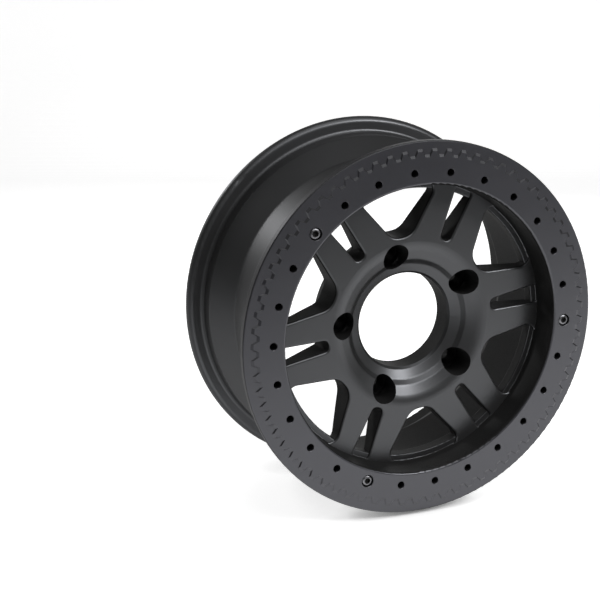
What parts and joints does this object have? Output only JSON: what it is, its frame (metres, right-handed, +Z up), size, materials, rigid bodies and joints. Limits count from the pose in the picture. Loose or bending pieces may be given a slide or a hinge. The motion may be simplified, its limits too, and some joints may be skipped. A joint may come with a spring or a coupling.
{
  "type": "beadlock wheel",
  "caption": "Cast off-road wheel with paired spokes and a drop-centre rim, and a toothed clamp ring bolted to its front to lock the tyre's bead.",
  "frame": {"origin": "on the axle line, midway between the clamp ring's front face and the back of the rear flange", "axes": "+Y along the axle line from the clamp ring at the front (outer side) to the back of the rim, +Z up, +X to the right seen from the front"},
  "size_m": [0.444, 0.2008, 0.4438],
  "materials": {
    "casting_paint": "matt black powder coat on cast aluminium alloy",
    "ring_paint": "matt black powder coat on machined aluminium alloy",
    "screw_steel": "bright zinc-plated steel"
  },
  "bodies": {
    "root": {"wheel_casting": "casting_paint", "beadlock_ring": "ring_paint", "ring_screw_1": "screw_steel", "ring_screw_2": "screw_steel", "ring_screw_3": "screw_steel"}
  },
  "joints": []
}
